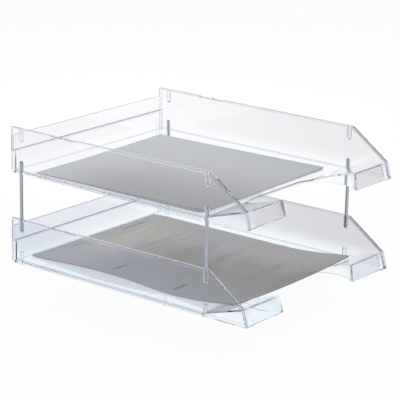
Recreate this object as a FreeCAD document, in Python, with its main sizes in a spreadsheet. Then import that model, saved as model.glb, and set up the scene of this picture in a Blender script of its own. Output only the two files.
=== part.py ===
import FreeCAD, Part
import math
import os
import Sketcher

# Two stacked letter trays on four riser rods, with the sheets that lie in them.
# Millimetres. +Z is up, the open front faces -Y and the side walls face -X and +X.
# The origin is the middle of the rectangle that the lower tray stands on.

SIZES = {
    # One tray. Both levels are the same moulding.
    "tray_width": 276,          # over the rims of the side walls
    "tray_depth": 348,          # front edge of the floor to the rear face
    "wall_height": 54,          # side walls
    "back_height": 44,          # back wall
    "wall_thick": 2,            # side panels and back wall
    "rim_width": 4.5,           # rim and side panel together, across the wall
    "rim_thick": 2,             # the rim itself, where it frames the panel
    "floor_height": 3.2,        # top of the floor
    "floor_thick": 2,
    "corner_radius": 2.5,       # upright rear corners
    # Front of the side wall: upright to the corner, then a slant to the knee.
    "lip_corner_height": 19,
    "lip_corner_radius": 3,
    "lip_lean": 5,              # how far the front leans back up to that corner
    "knee_inset": 54.5,         # from the front of the tray to the knee
    "knee_radius": 6,
    # Ramp and lips
    "ramp_inset": 62,           # from the front of the tray to the foot of the ramp
    "lip_height": 18.8,
    "lip_thick": 2,
    "lip_foot_length": 70.4,    # from the side of the tray to the inner end of a lip
    "lip_recess": 1.5,          # panel of the lip behind its corner post
    "post_width": 13,           # from the side of the tray to the inner side of the post
    # Cut-out in the floor between the lips
    "mouth_depth": 66,
    "mouth_half_width": 78,
    "mouth_radius": 37,
    "skirt_thick": 2,
    # Step in the back wall
    "ledge_height": 26.5,
    "ledge_depth": 4,
    # Two finger notches in each rim
    "notch_inset": 64.4,        # from the rear face to the first notch
    "notch_length": 16.5,
    "notch_gap": 4,
    "notch_depth": 1,
    # Riser rods and their sockets
    "tier_pitch": 110,
    "rod_diameter": 4,
    "rod_clearance": 0.05,
    "rod_inset": 2.5,           # from the side of the tray to a rod's axis
    "front_rod_inset": 58.5,
    "rear_rod_inset": 15,
    "socket_wall": 1.05,
    "rim_socket_depth": 15.4,
    "foot_socket_depth": 14.2,
    # Sheets in the lower tray: 224 x 300 in a tray of the size above
    "lower_pile": 1.2,
    "lower_left_gap": 20,       # from the -X side wall
    "lower_right_gap": 23,      # from the +X side wall
    "lower_rear_gap": 12,       # from the rear face of the tray
    "lower_reach": 26,          # past the foot of the ramp
    "hump_inset": 24,           # from the rear edge of the sheets to the hump
    "hump_rise": 4.3,
    "hump_gap": 6,              # from the hump to where the sheets rise
    "bend_inset": 70,           # from the foot of the ramp back to where the sheets rise
    "bend_rise": 9.5,           # front edge of the sheets over their rear
    # Sheets in the upper tray, no two edges parallel: 247 x 248 in a tray of the size above
    "upper_pile": 0.9,
    "upper_left_gap": 2,        # from the -X side wall
    "upper_right_gap": 18.5,    # from the +X side wall to the front corner
    "upper_right_skew": 12.5,   # the rear corner further from that wall
    "upper_rear_gap": 28,       # from the rear face of the tray to the +X corner
    "upper_rear_skew": 4.5,     # the -X corner further from that face
    "upper_front_gap": 10,      # from the foot of the ramp to the -X corner
    "upper_front_skew": 7,      # the +X corner further from that foot
    # Fits
    "sheet_gap": 0.3,           # air under the sheets
    "overrun": 6,               # what every cut reaches past the face that it opens
}

# Places and lengths that several pieces share, worked out from the sizes above
SIDE = "Sizes.tray_width / 2"
REAR = "Sizes.tray_depth / 2"
FRONT = "-Sizes.tray_depth / 2"
INNER_SIDE = f"({SIDE} - Sizes.rim_width)"
LIP_TOP_Y = f"({FRONT} + Sizes.lip_lean)"
LIP_DEPTH = "(Sizes.lip_recess + Sizes.lip_thick)"
RAMP_TOP_Y = f"({LIP_TOP_Y} + {LIP_DEPTH})"
RAMP_FOOT_Y = f"({FRONT} + Sizes.ramp_inset)"
SLANT_RUN = "(Sizes.knee_inset - Sizes.lip_lean)"
SLANT_RISE = "(Sizes.wall_height - Sizes.lip_corner_height)"
SLANT_DROP = f"(Sizes.rim_thick * sqrt({SLANT_RUN} ^ 2 + {SLANT_RISE} ^ 2) / {SLANT_RUN})"
ROD_RADIUS = "(Sizes.rod_diameter / 2)"
BORE_RADIUS = f"({ROD_RADIUS} + Sizes.rod_clearance)"
BOSS_RADIUS = f"({BORE_RADIUS} + Sizes.socket_wall)"
ROD_X = f"({SIDE} - Sizes.rod_inset)"
FRONT_ROD_Y = f"({FRONT} + Sizes.front_rod_inset)"
REAR_ROD_Y = f"({REAR} - Sizes.rear_rod_inset)"

FULL_TURN = 360

document = FreeCAD.newDocument("letter_tray_stack")


def fill_sheet():
    """Put the driving sizes into the spreadsheet, one named cell each."""
    sheet = document.addObject("Spreadsheet::Sheet", "Sizes")
    for row, (name, size) in enumerate(SIZES.items(), start=1):
        sheet.set(f"A{row}", name)
        sheet.set(f"B{row}", str(size))
        sheet.setAlias(f"B{row}", name)
    document.recompute()
    return sheet


def origin_plane(body, role):
    """Find one of a body's own origin planes."""
    return next(item for item in body.Origin.OriginFeatures if item.Role == role)


def outline(body, name, role, corners, place=None):
    """Draw a closed outline on an origin plane of a body.

    Each corner is (x, y), or (x, y, radius, turn) where an arc runs from it to the next
    corner: turn 1 is anticlockwise and -1 clockwise. All are expressions on the sheet, and
    place holds the expressions of the plane's offset.
    """
    sketch = body.newObject("Sketcher::SketchObject", f"{body.Name}_{name}_outline")
    sketch.AttachmentSupport = (origin_plane(body, role), "")
    sketch.MapMode = "FlatFace"
    for axis, expression in (place or {}).items():
        sketch.setExpression(f"AttachmentOffset.Base.{axis}", expression)
    points = [FreeCAD.Vector(value(corner[0]), value(corner[1]), 0) for corner in corners]
    ends = []
    for index, corner in enumerate(corners):
        start, stop = points[index], points[(index + 1) % len(points)]
        if len(corner) == 2:
            sketch.addGeometry(Part.LineSegment(start, stop))
            ends.append((1, 2))
            continue
        radius, turn = value(corner[2]), corner[3]
        sketch.addGeometry(arc_between(start, stop, radius, turn))
        ends.append((1, 2) if turn > 0 else (2, 1))
    for index, corner in enumerate(corners):
        after = (index + 1) % len(corners)
        sketch.addConstraint(
            Sketcher.Constraint("Coincident", index, ends[index][1], after, ends[after][0]))
    for index, corner in enumerate(corners):
        first, point = ends[index][0], points[index]
        bind(sketch, ("DistanceX", -1, 1, index, first, point.x), corner[0])
        bind(sketch, ("DistanceY", -1, 1, index, first, point.y), corner[1])
        if len(corner) > 2:
            bind(sketch, ("Radius", index, value(corner[2])), corner[2])
    return sketch


def bind(sketch, constraint, expression):
    """Add a constraint to a sketch and tie its value to the sheet."""
    index = sketch.addConstraint(Sketcher.Constraint(*constraint))
    sketch.setExpression(f"Constraints[{index}]", expression)


def arc_between(start, stop, radius, turn):
    """Make the arc of under half a circle that joins two points."""
    chord = stop - start
    middle = (start + stop) / 2
    height = math.sqrt(max(radius ** 2 - (chord.Length / 2) ** 2, 0))
    left = FreeCAD.Vector(-chord.y, chord.x, 0).normalize()
    centre = middle + left * height * turn
    first, last = (start, stop) if turn > 0 else (stop, start)
    angles = [math.atan2(point.y - centre.y, point.x - centre.x) for point in (first, last)]
    circle = Part.Circle(centre, FreeCAD.Vector(0, 0, 1), radius)
    return Part.ArcOfCircle(circle, *angles)


def value(expression):
    """Work out an expression on the sheet as a plain number."""
    return float(sizes.evalExpression(expression))


def pad(body, name, sketch, length, midplane=False):
    """Raise a solid from an outline, to one side of its plane or to both."""
    feature = body.newObject("PartDesign::Pad", f"{body.Name}_{name}")
    feature.Profile = sketch
    feature.Midplane = midplane
    feature.setExpression("Length", length)
    document.recompute()
    return feature


def pocket(body, name, sketch, length, midplane=False, reverse=False):
    """Cut an outline out of a body, and make sure that it took material away."""
    before = body.Shape.Volume
    feature = body.newObject("PartDesign::Pocket", f"{body.Name}_{name}")
    feature.Profile = sketch
    feature.Midplane = midplane
    feature.Reversed = reverse
    feature.setExpression("Length", length)
    document.recompute()
    if feature.Shape.Volume >= before:
        raise ValueError(f"{feature.Label} cuts nothing")
    return feature


def revolve(body, name, sketch, kind="PartDesign::Revolution"):
    """Turn an outline about its own upright axis, as a solid or as a groove."""
    feature = body.newObject(kind, f"{body.Name}_{name}")
    feature.Profile = sketch
    feature.ReferenceAxis = (sketch, ["V_Axis"])
    feature.Angle = FULL_TURN
    document.recompute()
    return feature


def mirror(body, features):
    """Repeat the features of the +X side on the -X side."""
    feature = body.newObject("PartDesign::Mirrored", f"{body.Name}_both_sides")
    feature.Originals = features
    feature.MirrorPlane = (origin_plane(body, "YZ_Plane"), [""])
    body.Tip = feature
    document.recompute()
    return feature


def round_edges(body, name, radius, chosen):
    """Round the edges of the body so far that the test picks out."""
    base = body.Tip
    edges = [f"Edge{i}" for i, edge in enumerate(base.Shape.Edges, start=1) if chosen(edge)]
    if not edges:
        raise ValueError(f"{body.Label} has no edge for {name}")
    feature = body.newObject("PartDesign::Fillet", f"{body.Name}_{name}")
    feature.Base = (base, edges)
    feature.setExpression("Radius", radius)
    document.recompute()
    return feature


def runs_through(edge, point):
    """Tell whether an edge's line passes through a point."""
    return edge.distToShape(Part.Vertex(point))[0] < Part.Precision.confusion() * 10


def mouth_corners(margin):
    """List the plan of the floor's cut-out, made larger all round by a margin."""
    centre_x = "(Sizes.mouth_half_width - Sizes.mouth_radius)"
    centre_y = f"({FRONT} + Sizes.mouth_depth - Sizes.mouth_radius)"
    radius = f"(Sizes.mouth_radius + {margin})"
    lip_end = f"({SIDE} - Sizes.lip_foot_length + {margin})"
    lip_back = f"({centre_x} + sqrt({radius} ^ 2 - ({LIP_TOP_Y} - {centre_y}) ^ 2))"
    before = f"({FRONT} - Sizes.overrun)"
    rear = f"({centre_y} + {radius})"
    return [
        (lip_end, before),
        (lip_end, FRONT),
        (lip_back, LIP_TOP_Y, radius, 1),
        (centre_x, rear),
        (f"-{centre_x}", rear, radius, 1),
        (f"-{lip_back}", LIP_TOP_Y),
        (f"-{lip_end}", FRONT),
        (f"-{lip_end}", before),
    ]


def socket_corners(radius, depth, opening, upward):
    """List half of a round-ended socket, from its open end on the axis."""
    sign = "" if upward else "-"
    straight = f"({depth} - {BORE_RADIUS})"
    return [
        ("0", opening),
        (radius, opening),
        (radius, f"{sign}{straight}", radius, 1 if upward else -1),
        ("0", f"{sign}({straight} + {radius})"),
    ]


def tray_block(body):
    """Raise the side view of a tray over its whole width and round its knees and corners."""
    side_view = outline(body, "side_view", "YZ_Plane", [
        (FRONT, "0"),
        (REAR, "0"),
        (REAR, "Sizes.wall_height"),
        (f"{FRONT} + Sizes.knee_inset", "Sizes.wall_height"),
        (LIP_TOP_Y, "Sizes.lip_corner_height"),
    ])
    pad(body, "block", side_view, "Sizes.tray_width", midplane=True)
    knee = FreeCAD.Vector(0, value(f"{FRONT} + Sizes.knee_inset"), value("Sizes.wall_height"))
    round_edges(body, "knee", "Sizes.knee_radius", lambda edge: runs_through(edge, knee))
    lip_corner = FreeCAD.Vector(0, value(LIP_TOP_Y), value("Sizes.lip_corner_height"))
    round_edges(body, "lip_corner", "Sizes.lip_corner_radius",
                lambda edge: runs_through(edge, lip_corner))
    rear_corners = [
        FreeCAD.Vector(sign * value(SIDE), value(REAR), value("Sizes.wall_height") / 2)
        for sign in (-1, 1)]
    round_edges(body, "corners", "Sizes.corner_radius",
                lambda edge: any(runs_through(edge, corner) for corner in rear_corners))


def tray_underside(body):
    """Hollow the block below its floor and ramp, and close it round the cut-out by a skirt."""
    under_floor = "(Sizes.floor_height - Sizes.floor_thick)"
    under_ramp = "(Sizes.lip_height - Sizes.floor_thick)"
    hollow = outline(body, "hollow", "YZ_Plane", [
        (f"{REAR} - Sizes.ledge_depth - Sizes.wall_thick", "-Sizes.overrun"),
        (f"{REAR} - Sizes.ledge_depth - Sizes.wall_thick", under_floor),
        (RAMP_FOOT_Y, under_floor),
        (RAMP_TOP_Y, under_ramp),
        (f"{FRONT} + {LIP_DEPTH}", "0"),
        (f"{FRONT} + {LIP_DEPTH}", "-Sizes.overrun"),
    ])
    pocket(body, "hollow", hollow, f"2 * {INNER_SIDE}", midplane=True)
    skirt = outline(body, "skirt", "XY_Plane", mouth_corners("Sizes.skirt_thick"))
    pad(body, "skirt", skirt, "Sizes.lip_height")
    lean = "(Sizes.overrun * Sizes.lip_lean / Sizes.lip_corner_height)"
    ahead = outline(body, "ahead", "YZ_Plane", [
        (f"{FRONT} - {lean}", "-Sizes.overrun"),
        (LIP_TOP_Y, "Sizes.lip_corner_height"),
        (f"{FRONT} - 2 * Sizes.overrun", "Sizes.lip_corner_height"),
        (f"{FRONT} - 2 * Sizes.overrun", "-Sizes.overrun"),
    ])
    pocket(body, "ahead", ahead, "Sizes.tray_width", midplane=True)


def tray_inside(body):
    """Open the tray above its floor and ramp, and cut the mouth through the floor."""
    above = "(Sizes.wall_height + Sizes.overrun)"
    inside = outline(body, "inside", "YZ_Plane", [
        (f"{REAR} - Sizes.ledge_depth - Sizes.wall_thick", "Sizes.floor_height"),
        (f"{REAR} - Sizes.ledge_depth - Sizes.wall_thick", "Sizes.ledge_height"),
        (f"{REAR} - Sizes.wall_thick", "Sizes.ledge_height"),
        (f"{REAR} - Sizes.wall_thick", above),
        (f"{FRONT} - Sizes.overrun", above),
        (f"{FRONT} - Sizes.overrun", "Sizes.lip_height"),
        (RAMP_TOP_Y, "Sizes.lip_height"),
        (RAMP_FOOT_Y, "Sizes.floor_height"),
    ])
    pocket(body, "inside", inside, f"2 * {INNER_SIDE}", midplane=True)
    mouth = outline(body, "mouth", "XY_Plane", mouth_corners("0"),
                    {"z": "-Sizes.overrun"})
    pocket(body, "mouth", mouth, f"2 * Sizes.overrun + Sizes.lip_height", reverse=True)


def tray_back(body):
    """Step the outside of the back wall and lower its top between the side walls."""
    top = "(Sizes.ledge_height - Sizes.wall_thick)"
    step = outline(body, "step", "YZ_Plane", [
        (f"{REAR} - Sizes.ledge_depth", "-Sizes.overrun"),
        (f"{REAR} + Sizes.overrun", "-Sizes.overrun"),
        (f"{REAR} + Sizes.overrun", top),
        (f"{REAR} - Sizes.ledge_depth", top),
    ])
    pocket(body, "step", step, f"2 * {INNER_SIDE}", midplane=True)
    lowered = outline(body, "lowered", "YZ_Plane", [
        (f"{REAR} - Sizes.wall_thick - Sizes.overrun", "Sizes.back_height"),
        (f"{REAR} + Sizes.overrun", "Sizes.back_height"),
        (f"{REAR} + Sizes.overrun", "Sizes.wall_height + Sizes.overrun"),
        (f"{REAR} - Sizes.wall_thick - Sizes.overrun", "Sizes.wall_height + Sizes.overrun"),
    ])
    pocket(body, "lowered", lowered, f"2 * {INNER_SIDE}", midplane=True)


def side_panel(body):
    """Set the +X side panel back inside its rim."""
    slope = f"({SLANT_RISE} / {SLANT_RUN})"
    panel = outline(body, "panel", "YZ_Plane", [
        (f"{FRONT} + Sizes.rim_thick", "Sizes.floor_height"),
        (f"{REAR} - Sizes.rim_thick", "Sizes.floor_height"),
        (f"{REAR} - Sizes.rim_thick", "Sizes.wall_height - Sizes.rim_thick"),
        (f"{FRONT} + Sizes.knee_inset + ({SLANT_DROP} - Sizes.rim_thick) / {slope}",
         "Sizes.wall_height - Sizes.rim_thick"),
        (f"{LIP_TOP_Y} + Sizes.rim_thick",
         f"Sizes.lip_corner_height + {slope} * Sizes.rim_thick - {SLANT_DROP}"),
    ], {"z": f"{SIDE} + Sizes.overrun"})
    return pocket(body, "panel", panel, "Sizes.overrun + Sizes.rim_width - Sizes.wall_thick")


def rim_notch(body, name, start):
    """Cut a shallow finger notch into the +X rim."""
    notch = outline(body, name, "YZ_Plane", [
        (f"{REAR} - ({start}) - Sizes.notch_length", "Sizes.wall_height - Sizes.notch_depth"),
        (f"{REAR} - ({start})", "Sizes.wall_height - Sizes.notch_depth"),
        (f"{REAR} - ({start})", "Sizes.wall_height + Sizes.overrun"),
        (f"{REAR} - ({start}) - Sizes.notch_length", "Sizes.wall_height + Sizes.overrun"),
    ], {"z": f"{SIDE} + Sizes.overrun"})
    return pocket(body, name, notch, "2 * Sizes.overrun + Sizes.rim_width")


def lip_panel(body):
    """Set the front of the +X lip back behind its corner post."""
    lean = "(Sizes.overrun * Sizes.lip_lean / Sizes.lip_corner_height)"
    panel = outline(body, "lip_panel", "YZ_Plane", [
        (f"{FRONT} - Sizes.overrun", "-Sizes.overrun"),
        (f"{FRONT} + Sizes.lip_recess - {lean}", "-Sizes.overrun"),
        (f"{LIP_TOP_Y} + Sizes.lip_recess + {lean}", "Sizes.lip_corner_height + Sizes.overrun"),
        (f"{FRONT} - Sizes.overrun", "Sizes.lip_corner_height + Sizes.overrun"),
    ], {"z": f"{SIDE} - Sizes.post_width"})
    return pocket(body, "lip_panel", panel, "Sizes.lip_foot_length")


def tray_sockets(body):
    """Add the +X side's four round sockets, two open in the rim and two in the foot."""
    ends = {"rim": ("Sizes.wall_height", "Sizes.rim_socket_depth", False),
            "foot": ("0", "Sizes.foot_socket_depth", True)}
    rods = {"front": FRONT_ROD_Y, "rear": REAR_ROD_Y}
    bosses, bores = [], []
    for end, (level, depth, upward) in ends.items():
        opening = "-Sizes.overrun" if upward else "Sizes.overrun"
        for rod, rod_y in rods.items():
            place = {"x": ROD_X, "y": level, "z": f"-{rod_y}"}
            boss = outline(body, f"{rod}_{end}_boss", "XZ_Plane",
                           socket_corners(BOSS_RADIUS, depth, "0", upward), place)
            bosses.append(revolve(body, f"{rod}_{end}_boss", boss))
            bore = outline(body, f"{rod}_{end}_bore", "XZ_Plane",
                           socket_corners(BORE_RADIUS, depth, opening, upward), place)
            bores.append((f"{rod}_{end}_bore", bore))
    return bosses + [revolve(body, name, bore, "PartDesign::Groove") for name, bore in bores]


def tray(label, level):
    """Build one tray at its level in the stack."""
    body = document.addObject("PartDesign::Body", label)
    tray_block(body)
    tray_underside(body)
    tray_inside(body)
    tray_back(body)
    one_side = [side_panel(body), lip_panel(body)]
    one_side += [rim_notch(body, f"notch_{count}", start) for count, start in enumerate(
        ("Sizes.notch_inset", "Sizes.notch_inset + Sizes.notch_length + Sizes.notch_gap"))]
    one_side += tray_sockets(body)
    mirror(body, one_side)
    body.setExpression("Placement.Base.z", level)
    return body


def riser(label, rod_x, rod_y):
    """Turn one riser rod with rounded ends, from socket end to socket end."""
    body = document.addObject("PartDesign::Body", label)
    low = "(Sizes.wall_height - Sizes.rim_socket_depth)"
    length = f"(Sizes.tier_pitch + Sizes.foot_socket_depth - {low})"
    half = outline(body, "half", "XZ_Plane", [
        ("0", "0", ROD_RADIUS, 1),
        (ROD_RADIUS, ROD_RADIUS),
        (ROD_RADIUS, f"{length} - {ROD_RADIUS}", ROD_RADIUS, 1),
        ("0", length),
    ])
    revolve(body, "bar", half)
    body.setExpression("Placement.Base.x", rod_x)
    body.setExpression("Placement.Base.y", rod_y)
    body.setExpression("Placement.Base.z", low)
    return body


def lower_sheets():
    """Lay the lower pile over the floor, with its hump, and let it rise over the ramp."""
    body = document.addObject("PartDesign::Body", "lower_sheets")
    rest = "(Sizes.floor_height + Sizes.sheet_gap)"
    rear = f"({REAR} - Sizes.lower_rear_gap)"
    hump_rear = f"({rear} - Sizes.hump_inset)"
    hump_front = f"({RAMP_FOOT_Y} + Sizes.bend_inset + Sizes.hump_gap)"
    hump_length = f"({hump_rear} - {hump_front})"
    hump_radius = f"({hump_length} ^ 2 / (8 * Sizes.hump_rise) + Sizes.hump_rise / 2)"
    bend_run = "(Sizes.bend_inset + Sizes.lower_reach)"
    bend_radius = f"({bend_run} ^ 2 / (2 * Sizes.bend_rise) + Sizes.bend_rise / 2)"
    under = [
        (rear, rest),
        (hump_rear, rest, hump_radius, 1),
        (hump_front, rest),
        (f"{RAMP_FOOT_Y} + Sizes.bend_inset", rest, bend_radius, -1),
        (f"{RAMP_FOOT_Y} - Sizes.lower_reach", f"{rest} + Sizes.bend_rise"),
    ]
    over = []
    for index in range(len(under) - 1, -1, -1):
        corner = under[index]
        raised = (corner[0], f"{corner[1]} + Sizes.lower_pile")
        before = under[index - 1] if index else corner
        if index and len(before) > 2:
            raised += (before[2], -before[3])
        over.append(raised)
    pile = outline(body, "pile", "YZ_Plane", under + over,
                   {"z": "(Sizes.lower_left_gap - Sizes.lower_right_gap) / 2"})
    width = f"2 * {INNER_SIDE} - Sizes.lower_left_gap - Sizes.lower_right_gap"
    pad(body, "pile", pile, width, midplane=True)
    return body


def upper_sheets():
    """Lay the upper pile flat on the upper floor, a little askew."""
    body = document.addObject("PartDesign::Body", "upper_sheets")
    left = f"(Sizes.upper_left_gap - {INNER_SIDE})"
    right = f"({INNER_SIDE} - Sizes.upper_right_gap)"
    rear = f"({REAR} - Sizes.upper_rear_gap)"
    front = f"({RAMP_FOOT_Y} + Sizes.upper_front_gap)"
    pile = outline(body, "pile", "XY_Plane", [
        (left, front),
        (right, f"{front} + Sizes.upper_front_skew"),
        (f"{right} - Sizes.upper_right_skew", rear),
        (left, f"{rear} - Sizes.upper_rear_skew"),
    ])
    pad(body, "pile", pile, "Sizes.upper_pile")
    body.setExpression("Placement.Base.z",
                       "Sizes.tier_pitch + Sizes.floor_height + Sizes.sheet_gap")
    return body


def build():
    """Make every sub-part of the stack."""
    pieces = [tray("lower_tray", "0"), tray("upper_tray", "Sizes.tier_pitch")]
    for side, rod_x in (("left", f"-{ROD_X}"), ("right", ROD_X)):
        pieces.append(riser(f"riser_front_{side}", rod_x, FRONT_ROD_Y))
        pieces.append(riser(f"riser_rear_{side}", rod_x, REAR_ROD_Y))
    return pieces + [lower_sheets(), upper_sheets()]


def export(pieces):
    """Check every object and sub-part, then write one file for each sub-part."""
    document.recompute()
    for item in document.Objects:
        if "Invalid" in item.State or "Error" in item.State:
            raise ValueError(f"{item.Label} failed: {item.State}")
    for piece in pieces:
        if piece.Shape.isNull() or not piece.Shape.isValid():
            raise ValueError(f"{piece.Label} has no valid shape")
    os.makedirs("parts", exist_ok=True)
    for piece in pieces:
        piece.Shape.exportStep(f"parts/{piece.Label}.step")
        box = piece.Shape.BoundBox
        print(f"{piece.Label}: {len(piece.Shape.Solids)} solid, {piece.Shape.Volume:.0f} mm3, "
              f"x {box.XMin:.1f} {box.XMax:.1f}, y {box.YMin:.1f} {box.YMax:.1f}, "
              f"z {box.ZMin:.1f} {box.ZMax:.1f}")


sizes = fill_sheet()
export(build())
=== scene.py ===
"""Looks of the letter tray stack: clear moulded trays, drawn steel risers and loose paper.

Lengths are in metres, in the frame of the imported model: +X across the trays, +Y towards the back
walls and +Z up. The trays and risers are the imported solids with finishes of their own, and the
paper is made here, sheet by sheet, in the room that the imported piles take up.
"""
import logging
import math
import random
from dataclasses import dataclass, field
from enum import Enum

import bmesh
import bpy
from mathutils import Matrix, Vector
from mathutils.bvhtree import BVHTree


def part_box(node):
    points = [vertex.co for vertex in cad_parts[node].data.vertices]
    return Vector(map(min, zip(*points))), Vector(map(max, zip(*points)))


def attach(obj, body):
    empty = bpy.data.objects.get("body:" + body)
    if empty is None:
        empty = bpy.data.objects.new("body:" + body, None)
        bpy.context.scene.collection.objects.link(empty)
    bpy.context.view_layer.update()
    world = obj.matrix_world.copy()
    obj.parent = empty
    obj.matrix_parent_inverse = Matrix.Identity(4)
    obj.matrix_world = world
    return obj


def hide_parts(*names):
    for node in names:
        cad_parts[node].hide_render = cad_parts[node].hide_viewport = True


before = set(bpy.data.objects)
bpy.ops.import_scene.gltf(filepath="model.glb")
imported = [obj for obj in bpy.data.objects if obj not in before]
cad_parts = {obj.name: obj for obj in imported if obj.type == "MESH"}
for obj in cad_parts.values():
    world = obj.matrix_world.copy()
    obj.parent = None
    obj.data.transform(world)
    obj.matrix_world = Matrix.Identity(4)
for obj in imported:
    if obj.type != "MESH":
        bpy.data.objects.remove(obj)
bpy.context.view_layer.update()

log = logging.getLogger("letter_tray_stack")

MM = 0.001

Colour = tuple[float, float, float]
Span = tuple[float, float]
Grid = list[list[bmesh.types.BMVert]]

WHITE: Colour = (1.0, 1.0, 1.0)
CORNERS = ((0, 0), (1, 0), (0, 1), (1, 1))


class Wire:
    """An output socket of a shader graph, on which plain maths works."""

    def __init__(self, graph: "Graph", socket: bpy.types.NodeSocket) -> None:
        """Keep the socket and the graph that it belongs to."""
        self.graph = graph
        self.socket = socket

    def __add__(self, other: "Wire | float") -> "Wire":
        """Add a value or a wire."""
        return self.graph.maths("ADD", self, other)

    def __radd__(self, other: float) -> "Wire":
        """Add this wire to a value."""
        return self.graph.maths("ADD", other, self)

    def __sub__(self, other: "Wire | float") -> "Wire":
        """Take a value or a wire away."""
        return self.graph.maths("SUBTRACT", self, other)

    def __rsub__(self, other: float) -> "Wire":
        """Take this wire away from a value."""
        return self.graph.maths("SUBTRACT", other, self)

    def __mul__(self, other: "Wire | float") -> "Wire":
        """Multiply by a value or a wire."""
        return self.graph.maths("MULTIPLY", self, other)

    def __rmul__(self, other: float) -> "Wire":
        """Multiply a value by this wire."""
        return self.graph.maths("MULTIPLY", other, self)

    def __truediv__(self, other: "Wire | float") -> "Wire":
        """Divide by a value or a wire."""
        return self.graph.maths("DIVIDE", self, other)

    def __gt__(self, other: "Wire | float") -> "Wire":
        """Give 1 where this wire is the greater, else 0."""
        return self.graph.maths("GREATER_THAN", self, other)

    def __lt__(self, other: "Wire | float") -> "Wire":
        """Give 1 where this wire is the smaller, else 0."""
        return self.graph.maths("LESS_THAN", self, other)

    def whole(self) -> "Wire":
        """Give the last whole number."""
        return self.graph.maths("FLOOR", self)

    def part(self) -> "Wire":
        """Give what is left above the last whole number."""
        return self.graph.maths("FRACT", self)

    def size(self) -> "Wire":
        """Give the value without its sign."""
        return self.graph.maths("ABSOLUTE", self)

    def most(self, other: "Wire") -> "Wire":
        """Give the greater of two wires."""
        return self.graph.maths("MAXIMUM", self, other)

    def within(self, low: float, high: float) -> "Wire":
        """Give 1 where this wire lies between two values, else 0."""
        return (self > low) * (self < high)

    def rises(self, low: float, high: float) -> "Wire":
        """Give a smooth step.

        Args:
            low: the value up to which the step is 0.
            high: the value from which it is 1.

        Returns:
            The step.
        """
        settings = {"interpolation_type": "SMOOTHSTEP"}
        inputs = {"Value": self, "From Min": low, "From Max": high}
        return self.graph.node("ShaderNodeMapRange", settings, inputs)["Result"]


class Made:
    """A node that was added to a graph."""

    def __init__(self, graph: "Graph", made: bpy.types.Node) -> None:
        """Keep the node and its graph."""
        self.graph = graph
        self.made = made

    def __getitem__(self, output: str | int) -> Wire:
        """Give one of the node's outputs."""
        return Wire(self.graph, self.made.outputs[output])


class Graph:
    """The nodes of one material or of the world."""

    FIRST_COLOUR = 6
    SECOND_COLOUR = 7
    COLOUR_RESULT = 2

    def __init__(self, tree: bpy.types.NodeTree) -> None:
        """Start from an empty tree."""
        self.tree = tree
        tree.nodes.clear()

    def node(self, kind: str, settings: dict[str, object] | None = None,
             inputs: dict[str | int, object] | None = None) -> Made:
        """Add a node.

        Args:
            kind: the node's type.
            settings: its options, which decide the sockets that it has.
            inputs: a value or a wire for each input named or numbered.

        Returns:
            The node.
        """
        made = self.tree.nodes.new(kind)
        for name, setting in (settings or {}).items():
            setattr(made, name, setting)
        for name, given in (inputs or {}).items():
            if isinstance(given, Wire):
                self.tree.links.new(given.socket, made.inputs[name])
            else:
                made.inputs[name].default_value = given
        return Made(self, made)

    def maths(self, operation: str, *operands: Wire | float) -> Wire:
        """Add a Math node of an operation, with its inputs in their order."""
        settings = {"operation": operation}
        return self.node("ShaderNodeMath", settings, dict(enumerate(operands)))["Value"]

    def blend(self, share: Wire | float, first: Wire | Colour, second: Wire | Colour) -> Wire:
        """Blend two colours.

        Args:
            share: 0 for the first colour and 1 for the second.
            first: a colour.
            second: a colour.

        Returns:
            The blended colour.
        """
        colours = [end if isinstance(end, Wire) else (*end, 1) for end in (first, second)]
        inputs = {0: share, self.FIRST_COLOUR: colours[0], self.SECOND_COLOUR: colours[1]}
        return self.node("ShaderNodeMix", {"data_type": "RGBA"}, inputs)[self.COLOUR_RESULT]

    def noise(self, place: Wire, scale: float, detail: float = 2.0) -> Wire:
        """Give soft noise from 0 to 1, with so many features to a metre."""
        inputs = {"Vector": place, "Scale": scale, "Detail": detail}
        return self.node("ShaderNodeTexNoise", None, inputs)["Fac"]

    def place(self) -> Wire:
        """Give a point of the object in its own frame, in metres."""
        return self.node("ShaderNodeTexCoord")["Object"]

    def facing(self) -> Wire:
        """Give the surface's normal."""
        return self.node("ShaderNodeNewGeometry")["Normal"]

    def rays(self) -> Made:
        """Give the node that tells the kinds of rays apart."""
        return self.node("ShaderNodeLightPath")

    def stretched(self, place: Wire, scale: tuple[float, float, float]) -> Wire:
        """Scale a point along each axis."""
        settings = {"operation": "MULTIPLY"}
        return self.node("ShaderNodeVectorMath", settings, {0: place, 1: scale})["Vector"]

    def alike(self, first: Wire, second: Wire) -> Wire:
        """Give 1 where two normals point the same way, and less where they don't."""
        settings = {"operation": "DOT_PRODUCT"}
        return self.node("ShaderNodeVectorMath", settings, {0: first, 1: second})["Value"]

    def split(self, place: Wire) -> tuple[Wire, Wire, Wire]:
        """Give a point's three coordinates."""
        made = self.node("ShaderNodeSeparateXYZ", None, {0: place})
        return made["X"], made["Y"], made["Z"]

    def bump(self, height: Wire, depth: float) -> Wire:
        """Turn a height from 0 to 1 into a normal, for a relief of this depth in metres."""
        inputs = {"Height": height, "Distance": depth}
        return self.node("ShaderNodeBump", None, inputs)["Normal"]

    def clear(self, tint: Colour) -> Wire:
        """Give a shader that lets light straight through, tinted."""
        return self.node("ShaderNodeBsdfTransparent", None, {0: (*tint, 1)})["BSDF"]

    def either(self, share: Wire | float, first: Wire, second: Wire) -> Wire:
        """Mix two shaders, the second by the share."""
        return self.node("ShaderNodeMixShader", None, {0: share, 1: first, 2: second})["Shader"]

    def show(self, surface: Wire, volume: Wire | None = None) -> None:
        """Lead the surface's shader and any volume's to the output."""
        inputs = {"Surface": surface} | ({"Volume": volume} if volume else {})
        self.node("ShaderNodeOutputMaterial", None, inputs)


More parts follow.
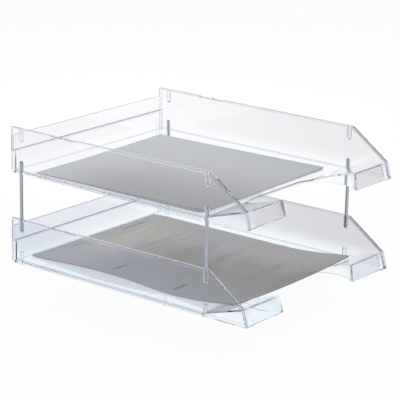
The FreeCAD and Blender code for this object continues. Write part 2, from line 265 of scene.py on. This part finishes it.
def new_material(name: str) -> tuple[bpy.types.Material, Graph]:
    """Make an empty material.

    Args:
        name: the material's name.

    Returns:
        The material and its graph.
    """
    material = bpy.data.materials.new(name)
    material.use_nodes = True
    return material, Graph(material.node_tree)


def dress(piece: bpy.types.Object, material: bpy.types.Material) -> None:
    """Give every face of a piece one material."""
    piece.data.materials.clear()
    piece.data.materials.append(material)


def add_mesh(name: str, net: bmesh.types.BMesh) -> bpy.types.Object:
    """Turn a net of faces into an object of the scene.

    Args:
        name: the object's name.
        net: the faces, which are let go afterwards.

    Returns:
        The object.
    """
    mesh = bpy.data.meshes.new(name)
    net.to_mesh(mesh)
    net.free()
    made = bpy.data.objects.new(name, mesh)
    bpy.context.scene.collection.objects.link(made)
    return made


@dataclass(frozen=True)
class WallTintsWithPaintedLight:
    """The tints of one tray: the plastic's own faint tint at the rear of the walls, painted shade
    towards their front, painted pale blue light at the foot, and painted light and shade on the
    lips.
    """

    rear: Colour
    front: Colour
    foot: Colour
    near_lip: Colour
    far_lip: Colour


@dataclass(frozen=True)
class TrayLines:
    """Where the painted light and shade of a tray lie, in millimetres.

    A side counts from the middle plane, a front from the tray's front edge backwards, and a height
    from its foot. The slant falls from the knee of the side wall to the front edge.
    """

    front_edge: float = -174.0
    wall_fade: Span = (-90.0, 300.0)
    wall_fade_across_share: float = 0.8
    foot_height: float = 26.0
    square_share: float = 0.9
    lip_front: float = 9.0
    lip_side: float = 125.5
    lip_height: float = 19.5
    rim_side: float = 132.0
    rim_height: float = 53.5
    end_side: float = 133.2
    rear_end: float = 347.5
    front_end: float = 6.0
    back_wall: float = 340.0
    back_wall_top: Span = (42.5, 45.5)
    back_ledge: Span = (24.0, 27.0)
    ramp_rear: float = 66.0
    ramp_fade_share: float = 0.5
    rim_step: Span = (50.0, 53.5)
    knee: float = 56.0
    slant_front: float = 5.0
    slant_height: float = 19.0
    slant_rise_share: float = 0.5774
    slant_run_share: float = 0.8165
    slant_depth: Span = (1.2, 2.8)
    slant_upward_share: float = 0.6
    slant_side: float = 136.0
    slant_lowest: float = 17.0


@dataclass(frozen=True)
class Spot:
    """The shaded point of a tray: its places in millimetres, and how its face lies, 0 to 1."""

    across: Wire
    side: Wire
    front: Wire
    height: Wire
    along: Wire
    upward: Wire


@dataclass(frozen=True)
class ClearPlastic:
    """Water-white moulded plastic whose rims, ledges and edges carry painted grey shade lines.

    The lines are painted shade for light that is guided along the walls and leaves at their edges,
    so those look darker than the walls. The lines are found in the tray's own frame, in which its
    foot lies at the level.
    """

    name: str
    level: float
    walls: WallTintsWithPaintedLight
    lines: TrayLines = TrayLines()
    # Painted shade: grey lines on the edges, rims, steps, ledges and slants.
    painted_edge_shade: Colour = (0.45, 0.47, 0.54)
    painted_rim_shade: Colour = (0.66, 0.67, 0.73)
    painted_step_shade: Colour = (0.36, 0.37, 0.43)
    painted_ledge_shade: Colour = (0.25, 0.26, 0.32)
    painted_near_slant_shade: Colour = (0.40, 0.39, 0.43)
    painted_far_slant_shade: Colour = (0.16, 0.13, 0.14)
    edge_reach: float = 1.15 * MM
    edge_samples: int = 4
    edge_bend: Span = (0.72, 0.99)
    soft_tint: Colour = (0.985, 0.99, 1.0)
    lamp_tint: Colour = (0.90, 0.95, 1.0)
    bend: float = 1.50
    gloss: float = 0.02
    haze: float = 0.05
    dye: Colour = (0.58, 0.62, 0.72)
    dye_density: float = 10.0
    longest_guide: int = 24
    flow_scale: float = 14.0
    flow_depth: float = 0.12 * MM
    scuff_scale: float = 900.0
    scuff_stretch: tuple[float, float, float] = (1.0, 0.15, 1.0)
    scuff_span: Span = (0.62, 0.78)
    wear_scale: float = 28.0
    wear_span: Span = (0.45, 0.7)

    def spot(self, graph: Graph) -> Spot:
        """Find the shaded point in the tray.

        Args:
            graph: the plastic's graph.

        Returns:
            Its places and how its face lies.
        """
        x, y, z = graph.split(graph.place())
        _, along, upward = (axis.size() for axis in graph.split(graph.facing()))
        across = x / MM
        front = y / MM - self.lines.front_edge
        return Spot(across, across.size(), front, (z - self.level) / MM, along, upward)

    def edges(self, graph: Graph) -> Wire:
        """Find the edges of the moulding.

        Args:
            graph: the plastic's graph.

        Returns:
            1 along every edge and 0 on the walls.
        """
        settings = {"samples": self.edge_samples}
        rounded = graph.node("ShaderNodeBevel", settings, {"Radius": self.edge_reach})["Normal"]
        return 1 - graph.alike(rounded, graph.facing()).rises(*self.edge_bend)

    def wall(self, graph: Graph, spot: Spot) -> Wire:
        """Give the tint of the walls: painted shade at the front that fades to the rear, and
        painted pale blue light at the foot that fades upwards.

        Args:
            graph: the plastic's graph.
            spot: the shaded point.

        Returns:
            The tint.
        """
        lines = self.lines
        back = (spot.front - spot.across * lines.wall_fade_across_share).rises(*lines.wall_fade)
        wall = graph.blend(back, self.walls.front, self.walls.rear)
        return graph.blend(spot.height.rises(0, lines.foot_height), self.walls.foot, wall)

    def painted_light_and_shade(self, graph: Graph, spot: Spot) -> list[tuple[Wire, Wire | Colour]]:
        """List the places of the tray that get painted light and shade.

        Args:
            graph: the plastic's graph.
            spot: the shaded point.

        Returns:
            The share and the tint of each place, each over those before it.
        """
        lines = self.lines
        across, side, front, height = spot.across, spot.side, spot.front, spot.height
        level_face = spot.upward > lines.square_share
        lips = (front < lines.lip_front) * (side < lines.lip_side) * (height < lines.lip_height)
        rims = level_face * (height > lines.rim_height) * (side > lines.rim_side)
        tips = (front > lines.rear_end).most(front < lines.front_end)
        ends = (spot.along > lines.square_share) * (side > lines.end_side) * tips
        back_top = (front > lines.back_wall) * height.within(*lines.back_wall_top)
        faded = (front < lines.ramp_rear) * lines.ramp_fade_share
        step = level_face * height.within(*lines.rim_step) * (side > lines.rim_side) * (
            front > lines.knee)
        ledge = level_face * (front > lines.back_wall) * height.within(*lines.back_ledge)
        depth = ((front - lines.slant_front) * lines.slant_rise_share
                 - (height - lines.slant_height) * lines.slant_run_share)
        slant = (depth.within(*lines.slant_depth) * (spot.upward > lines.slant_upward_share)
                 * (side > lines.slant_side) * (height > lines.slant_lowest))
        # Painted light and shade: a lighter near lip, a darker far lip, and grey shade lines on the
        # rims, edges, steps, ledges and slants.
        return [
            (lips, graph.blend(across > 0, self.walls.near_lip, self.walls.far_lip)),
            (rims.most(ends), self.painted_rim_shade),
            (self.edges(graph) * (1 - back_top) * (1 - faded), self.painted_edge_shade),
            (step, self.painted_step_shade),
            (ledge, self.painted_ledge_shade),
            (slant, graph.blend(across > 0, self.painted_near_slant_shade, self.painted_far_slant_shade)),
        ]

    def colour(self, graph: Graph) -> Wire:
        """Give the plastic's tint with its painted light and shade, from its walls to its edges.

        Args:
            graph: the plastic's graph.

        Returns:
            The tint.
        """
        spot = self.spot(graph)
        tint = self.wall(graph, spot)
        for share, painted_colour in self.painted_light_and_shade(graph, spot):
            tint = graph.blend(share, tint, painted_colour)
        return tint

    def material(self) -> bpy.types.Material:
        """Build the plastic.

        Returns:
            The material. Lamp light, soft light and light that is caught in the walls for long
            pass straight through it.
        """
        material, graph = new_material(self.name)
        place = graph.place()
        flow = graph.noise(place, self.flow_scale)
        scuffs = graph.noise(graph.stretched(place, self.scuff_stretch), self.scuff_scale)
        wear = graph.noise(place, self.wear_scale)
        worn = scuffs.rises(*self.scuff_span) * wear.rises(*self.wear_span)
        plastic = graph.node("ShaderNodeBsdfPrincipled", None, {
            "Base Color": self.colour(graph),
            "Roughness": self.gloss + self.haze * worn,
            "IOR": self.bend,
            "Transmission Weight": 1.0,
            "Normal": graph.bump(flow, self.flow_depth),
        })["BSDF"]
        ray = graph.rays()
        straight = ray["Is Diffuse Ray"].most(ray["Ray Depth"] > self.longest_guide)
        soft = graph.either(straight, plastic, graph.clear(self.soft_tint))
        surface = graph.either(ray["Is Shadow Ray"], soft, graph.clear(self.lamp_tint))
        dye = {"Color": (*self.dye, 1), "Density": self.dye_density}
        graph.show(surface, graph.node("ShaderNodeVolumeAbsorption", None, dye)["Volume"])
        return material


@dataclass(frozen=True)
class DrawnSteel:
    """Bright drawn wire with fine lines along it."""

    name: str = "drawn_steel"
    bright: Colour = (0.45, 0.49, 0.54)
    dull: Colour = (0.33, 0.37, 0.42)
    polish: float = 0.22
    line_haze: float = 0.16
    line_scale: float = 2600.0
    line_detail: float = 3.0
    line_stretch: tuple[float, float, float] = (1.0, 1.0, 0.02)
    line_depth: float = 0.01 * MM
    line_share: float = 0.6
    stain_scale: float = 60.0

    def material(self) -> bpy.types.Material:
        """Build the steel.

        Returns:
            The material.
        """
        material, graph = new_material(self.name)
        place = graph.place()
        drawn = graph.stretched(place, self.line_stretch)
        lines = graph.noise(drawn, self.line_scale, self.line_detail)
        stains = graph.noise(place, self.stain_scale)
        bright = self.line_share * lines + (1 - self.line_share) * stains
        surface = graph.node("ShaderNodeBsdfPrincipled", None, {
            "Base Color": graph.blend(bright, self.dull, self.bright),
            "Metallic": 1.0,
            "Roughness": self.polish + self.line_haze * lines,
            "Normal": graph.bump(lines, self.line_depth),
        })["BSDF"]
        graph.show(surface)
        return material


@dataclass(frozen=True)
class Block:
    """A block of short printed lines, in millimetres from the sheet's left and rear edges."""

    left: float
    right: float
    rear: float
    front: float
    pitch: float
    ink_share: float


class Ink(Enum):
    """The colours that the lower sheets are printed in."""

    TAN = (0.47, 0.40, 0.30)
    PALE = (0.55, 0.53, 0.49)
    SLATE = (0.07, 0.07, 0.08)


@dataclass(frozen=True)
class Paper:
    """Uncoated office paper, plain or printed with a form of plain bars.

    Painted shading changes its colour towards the near side, in front of the painted shading's end:
    darker on the upper sheets and lighter on the lower. Painted light makes its underside whiter.
    """

    name: str
    pulp: Colour
    shade: Colour
    # Painted shading towards the near front: darker on the upper sheets, lighter on the lower.
    painted_shading: Colour
    painted_shading_end: float = 110 * MM
    painted_shading_length: float = 130 * MM
    painted_shading_side: Span = (-120 * MM, 40 * MM)
    # Painted light: the underside is whiter, as if lit from below.
    back: Colour = (0.93, 0.94, 0.95)
    back_below: float = -0.5
    corner: Vector = field(default_factory=Vector)
    blocks: dict[Ink, tuple[Block, ...]] = field(default_factory=dict)
    ragged_step: float = 0.618
    ragged_share: float = 0.35
    least_soak: float = 0.55
    fibre_soak: float = 0.35
    fibre_scale: float = 1500.0
    fibre_detail: float = 4.0
    fibre_depth: float = 0.02 * MM
    fibre_haze: float = 0.2
    cloud_scale: float = 45.0
    cloud_detail: float = 3.0
    cloud_share: float = 0.65
    polish: float = 0.72
    sheen: float = 0.35

    def printed(self, across: Wire, along: Wire, block: Block) -> Wire:
        """Find the ink of one block.

        Args:
            across: distance from the sheet's left edge in millimetres.
            along: distance from the sheet's rear edge in millimetres.
            block: the lines to print, whose right ends are ragged.

        Returns:
            1 where there is ink, else 0.
        """
        line = (along - block.rear) / block.pitch
        ragged = (line.whole() * self.ragged_step).part() * self.ragged_share
        end = block.right - ragged * (block.right - block.left)
        ink = line.part() < block.ink_share
        return ink * (across > block.left) * (across < end) * along.within(
            block.rear, block.front)

    def form(self, graph: Graph, x: Wire, y: Wire, bare: Wire, soak: Wire) -> Wire:
        """Print the form.

        Args:
            graph: the paper's graph.
            x: place across the trays in metres.
            y: place along the trays in metres.
            bare: the unprinted paper's colour.
            soak: how well the paper takes the ink.

        Returns:
            The printed paper's colour.
        """
        across = (x - self.corner.x) / MM
        along = (self.corner.y - y) / MM
        colour = bare
        for ink, blocks in self.blocks.items():
            for block in blocks:
                wet = self.printed(across, along, block) * soak
                colour = graph.blend(wet, colour, ink.value)
        return colour

    def material(self) -> bpy.types.Material:
        """Build the paper.

        Returns:
            The material.
        """
        material, graph = new_material(self.name)
        place = graph.place()
        fibres = graph.noise(place, self.fibre_scale, self.fibre_detail)
        clouds = graph.noise(place, self.cloud_scale, self.cloud_detail)
        mottle = self.cloud_share * clouds + (1 - self.cloud_share) * fibres
        x, y, _ = graph.split(place)
        # Painted shading: a share that rises towards the near front of the sheet.
        ahead = 1 - y.rises(self.painted_shading_end - self.painted_shading_length, self.painted_shading_end)
        painted_shading_share = (1 - x.rises(*self.painted_shading_side)) * ahead
        colour = graph.blend(painted_shading_share, graph.blend(mottle, self.shade, self.pulp), self.painted_shading)
        if self.blocks:
            soak = self.least_soak + self.fibre_soak * fibres
            colour = self.form(graph, x, y, colour, soak)
        # Painted light: faces that look down are made whiter.
        below = graph.split(graph.facing())[2] < self.back_below
        surface = graph.node("ShaderNodeBsdfPrincipled", None, {
            "Base Color": graph.blend(below, colour, self.back),
            "Roughness": self.polish + self.fibre_haze * fibres,
            "Specular IOR Level": self.sheen,
            "Normal": graph.bump(fibres, self.fibre_depth),
        })["BSDF"]
        graph.show(surface)
        return material


class Tier(Enum):
    """The two levels of the stack."""

    LOWER = "lower"
    UPPER = "upper"


@dataclass
class LetterTray:
    """One clear tray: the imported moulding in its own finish."""

    tier: Tier
    plastic: bpy.types.Material

    def build(self) -> bpy.types.Object:
        """Dress the moulding.

        Returns:
            The tray.
        """
        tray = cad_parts[f"{self.tier.value}_tray"]
        dress(tray, self.plastic)
        return tray


@dataclass
class Risers:
    """The four rods that carry the upper tray."""

    steel: bpy.types.Material
    places: tuple[str, ...] = ("front_left", "front_right", "rear_left", "rear_right")

    def build(self) -> list[bpy.types.Object]:
        """Dress the rods.

        Returns:
            The rods.
        """
        rods = [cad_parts[f"riser_{place}"] for place in self.places]
        for rod in rods:
            dress(rod, self.steel)
        return rods


def border(rows: Grid) -> list[bmesh.types.BMVert]:
    """List the outer points of a grid in order.

    Args:
        rows: the grid.

    Returns:
        Its outer points, once round.
    """
    right = [row[-1] for row in rows[1:-1]]
    left = [row[0] for row in reversed(rows[1:-1])]
    return rows[0] + right + rows[-1][::-1] + left


def skin(net: bmesh.types.BMesh, under: Grid, over: Grid) -> None:
    """Lay faces over two grids and close the edge between them.

    Args:
        net: the net that holds the grids' points.
        under: the lower grid.
        over: the upper grid.
    """
    for j in range(len(under) - 1):
        for i in range(len(under[j]) - 1):
            net.faces.new((over[j][i], over[j + 1][i], over[j + 1][i + 1], over[j][i + 1]))
            net.faces.new((under[j][i], under[j][i + 1], under[j + 1][i + 1], under[j + 1][i]))
    low, high = border(under), border(over)
    for index, point in enumerate(low):
        after = (index + 1) % len(low)
        net.faces.new((point, low[after], high[after], high[index]))


@dataclass(frozen=True)
class Lie:
    """How one sheet lies: its rear right corner, its two edges and the lifts of its corners."""

    anchor: Vector
    across: Vector
    along: Vector
    lifts: list[float]


@dataclass
class PaperPile:
    """A loose pile that takes the place of one packed pile, sheet by sheet.

    A place on a sheet is given by u, 0 at its left edge and 1 at its right, and by v, 0 at its
    rear edge and 1 at its front, and its corners are given in the same way.
    """

    tier: Tier
    paper: bpy.types.Material
    slot: str
    count: int
    seed: int
    length: float
    fan: float = 0.0
    drift: float = 0.0
    hump_front: float = 0.0
    far_rise: float = 0.0
    far_rise_start_share: float = 0.07
    sag: float = 0.0
    sag_start_share: float = 0.68
    thickness: float = 0.11 * MM
    widthwise: int = 24
    lengthwise: int = 72
    crease: float = math.radians(40)
    stray: float = 0.9 * MM
    turn: float = math.radians(0.22)
    curl: float = 0.7 * MM
    least_curl_share: float = 0.2
    curl_reach_share: float = 0.16
    ease: float = 14 * MM
    probes: int = 7
    probe_reach: float = 1.0
    rear_margin: float = 4 * MM
    front_margin: float = 8 * MM

    def build(self) -> list[bpy.types.Object]:
        """Make the sheets from the bottom of the pile to its top.

        Returns:
            The sheets.
        """
        body = f"{self.tier.value}_sheets"
        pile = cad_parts[body].data
        points = [vertex.co.copy() for vertex in pile.vertices]
        tree = BVHTree.FromPolygons(points, [tuple(face.vertices) for face in pile.polygons])
        rear_left, rear_right = (
            max(points, key=lambda point: point.y + side * point.x) for side in (-1, 1))
        heights = self.profile(tree)
        draws = random.Random(self.seed)
        sheets = []
        for level in range(self.count):
            lie = self.lie(level / (self.count - 1), rear_left, rear_right, draws)
            sheet = self.sheet(level, heights, lie)
            dress(sheet, self.paper)
            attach(sheet, body)
            sheets.append(sheet)
        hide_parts(body)
        return sheets

    def profile(self, tree: BVHTree) -> list[Span]:
        """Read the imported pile's underside and top along the tray, eased over its corners.

        Args:
            tree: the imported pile.

        Returns:
            The two heights at each row of points, from the rear to the front.
        """
        low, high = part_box(f"{self.tier.value}_sheets")
        middle = (low.x + high.x) / 2
        first, last = high.y - self.rear_margin, low.y + self.front_margin
        rows = []
        for row in range(self.lengthwise + 1):
            y = high.y - self.length * row / self.lengthwise
            total = [0.0, 0.0]
            for probe in range(self.probes):
                offset = self.ease * (2 * probe / (self.probes - 1) - 1)
                place = min(max(y + offset, last), first)
                for index, way in enumerate((1, -1)):
                    start = Vector((middle, place, -way * self.probe_reach))
                    total[index] += tree.ray_cast(start, Vector((0, 0, way)))[0].z
            rows.append((total[0] / self.probes, total[1] / self.probes))
        return rows

    def lie(self, share: float, rear_left: Vector, rear_right: Vector,
            draws: random.Random) -> Lie:
        """Draw how one sheet lies.

        Args:
            share: its place in the pile, 0 at the bottom and 1 at the top.
            rear_left: the pile's rear left corner.
            rear_right: the pile's rear right corner.
            draws: the pile's own random numbers.

        Returns:
            The sheet's lie. The fan opens most between the lowest sheets, and the top sheet keeps
            to the pile's corner.
        """
        loose = 0 if share == 1 else 1
        angle = self.fan * share ** 0.5 + loose * draws.uniform(-self.turn, self.turn)
        stray = Vector((draws.uniform(-self.stray, self.stray), draws.uniform(-self.stray, 0), 0))
        anchor = rear_right - Vector((0, self.drift * (1 - share), 0)) + loose * stray
        across = Vector((math.cos(angle), math.sin(angle), 0)) * (rear_right.x - rear_left.x)
        along = Vector((math.sin(angle), -math.cos(angle), 0)) * self.length
        lifts = [draws.uniform(self.least_curl_share, 1) * self.curl for _ in CORNERS]
        return Lie(anchor, across, along, lifts)

    def sheet(self, level: int, heights: list[Span], lie: Lie) -> bpy.types.Object:
        """Make one sheet of the pile.

        Args:
            level: its number from the bottom.
            heights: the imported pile's underside and top at each row of points.
            lie: how the sheet lies.

        Returns:
            The sheet as a closed thin solid.
        """
        net = bmesh.new()
        under, over = (
            self.face(net, level, heights, lie, raised) for raised in (0, self.thickness))
        skin(net, under, over)
        bmesh.ops.recalc_face_normals(net, faces=net.faces)
        for face in net.faces:
            face.smooth = True
        for edge in net.edges:
            edge.smooth = edge.calc_face_angle(0) < self.crease
        return add_mesh(f"{self.tier.value}_sheet_{level + 1}", net)

    def face(self, net: bmesh.types.BMesh, level: int, heights: list[Span], lie: Lie,
             raised: float) -> Grid:
        """Place the points of a sheet's underside or top.

        Args:
            net: the net that gets the points.
            level: the sheet's number from the bottom.
            heights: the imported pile's underside and top at each row of points.
            lie: how the sheet lies.
            raised: how far the points lie over the sheet's underside.

        Returns:
            The points, row by row from the rear.
        """
        share = level / (self.count - 1)
        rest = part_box(f"{self.tier.value}_sheets")[0].z
        rows = []
        for j, (under, over) in enumerate(heights):
            v = j / self.lengthwise
            bottom = under + (over - under) * level / self.count
            row = []
            for i in range(self.widthwise + 1):
                u = i / self.widthwise
                place = lie.anchor + lie.across * (u - 1) + lie.along * v
                z = bottom + self.lift(u, v, lie.lifts) * share
                z -= self.settle(place.y, u, v, under - rest)
                row.append(net.verts.new((place.x, place.y, z + raised)))
            rows.append(row)
        return rows

    def settle(self, y: float, u: float, v: float, rise: float) -> float:
        """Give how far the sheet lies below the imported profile, by its hump and its front.

        Args:
            y: place along the tray.
            u: place across the sheet.
            v: place along the sheet.
            rise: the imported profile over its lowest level.

        Returns:
            The drop there.
        """
        hump = rise * u if y > self.hump_front else 0.0
        swell = self.far_rise * u * u * min(1.0, v / self.far_rise_start_share)
        ahead = max(0.0, (v - self.sag_start_share) / (1 - self.sag_start_share)) ** 2
        return hump - swell + self.sag * ahead * (1 - (2 * u - 1) ** 2)

    def lift(self, u: float, v: float, lifts: list[float]) -> float:
        """Give how far the corners curl up at a place of the sheet.

        Args:
            u: place across the sheet.
            v: place along the sheet.
            lifts: the height that each corner curls up to.

        Returns:
            The rise there.
        """
        rise = 0.0
        for lift, (corner_u, corner_v) in zip(lifts, CORNERS):
            away = math.hypot(u - corner_u, v - corner_v) / self.curl_reach_share
            rise += lift * max(0.0, 1 - away) ** 2
        return rise


@dataclass(frozen=True)
class Studio:
    """The pale floor, the white surroundings and the lamp."""

    floor_radius: float = 9.0
    floor_sides: int = 96
    floor_drop: float = 0.2 * MM
    floor_colour: Colour = (0.92, 0.93, 0.95)
    floor_glow: float = 0.94
    soft_colour: Colour = (0.97, 0.985, 1.0)
    soft_low: float = 1.08
    soft_high: float = 0.42
    soft_fall: Span = (0.30, 0.85)
    ceiling: float = 0.25
    ceiling_fall: Span = (0.30, 0.75)
    longest_path: int = 48
    lamp_power: float = 5.0
    lamp_size: float = 0.5
    lamp_place: Vector = field(default_factory=lambda: Vector((0.55, 0.60, 0.75)))

    def build(self) -> None:
        """Lay the floor, light it and set the surroundings."""
        self.floor()
        self.surroundings()
        self.lamp()
        scene = bpy.context.scene
        scene.view_settings.view_transform = "Standard"
        paths = scene.cycles
        paths.max_bounces = self.longest_path
        paths.glossy_bounces = paths.transmission_bounces = self.longest_path
        log.info("studio: floor, surroundings and lamp")

    def shown(self, graph: Graph) -> Wire:
        """Find the rays by which the picture shows the surroundings.

        Args:
            graph: the graph of the floor or the world.

        Returns:
            1 for those rays and 0 for the others.
        """
        ray = graph.rays()
        return ray["Is Camera Ray"].most(ray["Is Glossy Ray"]).most(ray["Is Transmission Ray"])

    def floor(self) -> None:
        """Make the floor, which keeps the object's shadow."""
        net = bmesh.new()
        bmesh.ops.create_circle(
            net, cap_ends=True, segments=self.floor_sides, radius=self.floor_radius)
        floor = add_mesh("floor", net)
        floor.location.z = -self.floor_drop
        material, graph = new_material("pale_floor")
        matt = graph.node("ShaderNodeBsdfDiffuse", None, {"Color": (*self.floor_colour, 1)})["BSDF"]
        white = graph.node("ShaderNodeEmission", None, {"Color": (*WHITE, 1)})["Emission"]
        graph.show(graph.either(self.shown(graph) * self.floor_glow, matt, white))
        dress(floor, material)

    def surroundings(self) -> None:
        """Light from all round, white where it shows, with a darker ceiling for the edges."""
        world = bpy.data.worlds.new("surroundings")
        bpy.context.scene.world = world
        world.use_nodes = True
        graph = Graph(world.node_tree)
        height = graph.split(graph.node("ShaderNodeTexCoord")["Generated"])[2]
        dark = height.rises(*self.ceiling_fall) * (1 - self.ceiling)
        seen = graph.rays()["Is Camera Ray"]
        white = graph.node("ShaderNodeBackground", None, {
            "Color": (*WHITE, 1),
            "Strength": 1 - dark * (1 - seen),
        })["Background"]
        fall = height.rises(*self.soft_fall) * (self.soft_low - self.soft_high)
        soft = graph.node("ShaderNodeBackground", None, {
            "Color": (*self.soft_colour, 1),
            "Strength": self.soft_low - fall,
        })["Background"]
        both = graph.either(self.shown(graph), soft, white)
        graph.node("ShaderNodeOutputWorld", None, {"Surface": both})

    def lamp(self) -> None:
        """Hang one soft lamp above the rear right corner."""
        light = bpy.data.lights.new("overhead_lamp", "AREA")
        light.energy = self.lamp_power
        light.size = self.lamp_size
        lamp = bpy.data.objects.new("overhead_lamp", light)
        lamp.location = self.lamp_place
        lamp.rotation_euler = (-self.lamp_place).to_track_quat("-Z", "Y").to_euler()
        lamp.visible_camera = False
        lamp.visible_transmission = False
        bpy.context.scene.collection.objects.link(lamp)


@dataclass(frozen=True)
class PhotoCamera:
    """The camera, where the photograph was taken from."""

    azimuth: float = math.radians(-52.029)
    elevation: float = math.radians(16.376)
    roll: float = math.radians(1.185)
    distance: float = 2245.46 * MM
    aside: float = 1.17 * MM
    above: float = 76.47 * MM
    lens: float = 170.791
    sensor: float = 36.0

    def build(self) -> None:
        """Place the camera and make it the scene's."""
        a, e, r = self.azimuth, self.elevation, self.roll
        back = Vector((math.sin(a) * math.cos(e), -math.cos(a) * math.cos(e), math.sin(e)))
        level = Vector((math.cos(a), math.sin(a), 0))
        upright = back.cross(level)
        right = level * math.cos(r) + upright * math.sin(r)
        up = upright * math.cos(r) - level * math.sin(r)
        settings = bpy.data.cameras.new("photo_camera")
        settings.lens = self.lens
        settings.sensor_width = self.sensor
        camera = bpy.data.objects.new("photo_camera", settings)
        turned = Matrix((right, up, back)).transposed().to_4x4()
        place = back * self.distance + right * self.aside + up * self.above
        camera.matrix_world = Matrix.Translation(place) @ turned
        bpy.context.scene.collection.objects.link(camera)
        bpy.context.scene.camera = camera
        log.info("camera: %.1f mm lens at %.2f m", self.lens, place.length)


def tray_plastic(tier: Tier) -> ClearPlastic:
    """Choose the plastic of a tray: bluer below with painted blue light, and clear above.

    Args:
        tier: the tray's level.

    Returns:
        The finish.
    """
    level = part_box(f"{tier.value}_tray")[0].z
    # Painted light and shade: darker fronts and far lips, pale blue feet as if lit from below, and
    # a bluer lower tray with a pale blue near lip from the same painted light.
    if tier is Tier.LOWER:
        return ClearPlastic("lower_plastic_with_painted_blue_light", level, WallTintsWithPaintedLight(
            rear=(0.86, 0.885, 0.945), front=(0.74, 0.74, 0.77), foot=(0.94, 0.98, 1.0),
            near_lip=(0.87, 0.94, 0.98), far_lip=(0.75, 0.78, 0.82)))
    return ClearPlastic("clear_moulded_plastic", level, WallTintsWithPaintedLight(
        rear=(0.975, 0.975, 0.985), front=(0.88, 0.875, 0.90), foot=(0.975, 0.98, 0.99),
        near_lip=(0.87, 0.87, 0.88), far_lip=(0.73, 0.73, 0.74)))


def form_print() -> dict[Ink, tuple[Block, ...]]:
    """Lay out the plain bars that the lower sheets are printed with.

    Returns:
        The blocks of each ink, in the order of printing.
    """
    return {
        Ink.PALE: (
            Block(56, 200, 30, 78, 3.0, 0.5),
            Block(70, 196, 88, 128, 3.5, 0.5),
            Block(52, 206, 150, 172, 3.0, 0.5),
            Block(64, 200, 186, 240, 3.5, 0.5),
            Block(40, 190, 256, 282, 3.5, 0.5),
        ),
        Ink.TAN: (
            Block(60, 124, 34, 56, 3.7, 0.5),
            Block(134, 196, 42, 72, 3.7, 0.5),
            Block(60, 190, 92, 99, 9.0, 0.7),
            Block(76, 158, 118, 156, 4.4, 0.5),
            Block(60, 118, 178, 214, 3.7, 0.5),
            Block(128, 204, 196, 236, 3.7, 0.5),
            Block(60, 130, 252, 274, 4.4, 0.5),
        ),
        Ink.SLATE: (
            Block(14, 44, 112, 117, 2.4, 0.6),
            Block(14, 40, 203, 208, 2.4, 0.6),
            Block(150, 200, 12, 17, 2.4, 0.5),
            Block(56, 80, 12, 15, 2.4, 0.6),
        ),
    }


def lower_pile() -> PaperPile:
    """Choose the lower sheets: printed, humped at the rear and raised over the ramp.

    Returns:
        The pile.
    """
    low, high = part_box("lower_sheets")
    # Painted light: these sheets are lighter towards their near front.
    paper = Paper(
        "printed_office_paper", pulp=(0.445, 0.425, 0.415), shade=(0.385, 0.365, 0.355),
        painted_shading=(0.53, 0.52, 0.525), corner=Vector((low.x, high.y, 0)), blocks=form_print())
    return PaperPile(
        Tier.LOWER, paper.material(), "printed_paper", count=8, seed=11, length=high.y - low.y,
        hump_front=-39 * MM, far_rise=1.5 * MM, sag=3 * MM)


def upper_pile() -> PaperPile:
    """Choose the upper sheets: plain grey, flat and fanned.

    Returns:
        The pile.
    """
    # Painted shade: these sheets are darker towards their near front.
    paper = Paper(
        "grey_office_paper", pulp=(0.545, 0.55, 0.565), shade=(0.51, 0.515, 0.53),
        painted_shading=(0.345, 0.35, 0.365), painted_shading_end=150 * MM)
    return PaperPile(
        Tier.UPPER, paper.material(), "grey_paper", count=6, seed=23, length=241 * MM,
        fan=math.radians(2.6), drift=4.3 * MM)


def report(*pieces: bpy.types.Object) -> None:
    """Say what each piece is finished in."""
    for piece in pieces:
        log.info("%s: %s", piece.name, piece.active_material.name)


def main() -> None:
    """Build the studio, then the trays, the risers and the sheets, and report each piece."""
    logging.basicConfig(level=logging.INFO, format="%(name)s %(message)s")
    PhotoCamera().build()
    Studio().build()
    for tier in Tier:
        report(LetterTray(tier, tray_plastic(tier).material()).build())
    report(*Risers(DrawnSteel().material()).build())
    report(*lower_pile().build())
    report(*upper_pile().build())


if __name__ == "__main__":
    main()
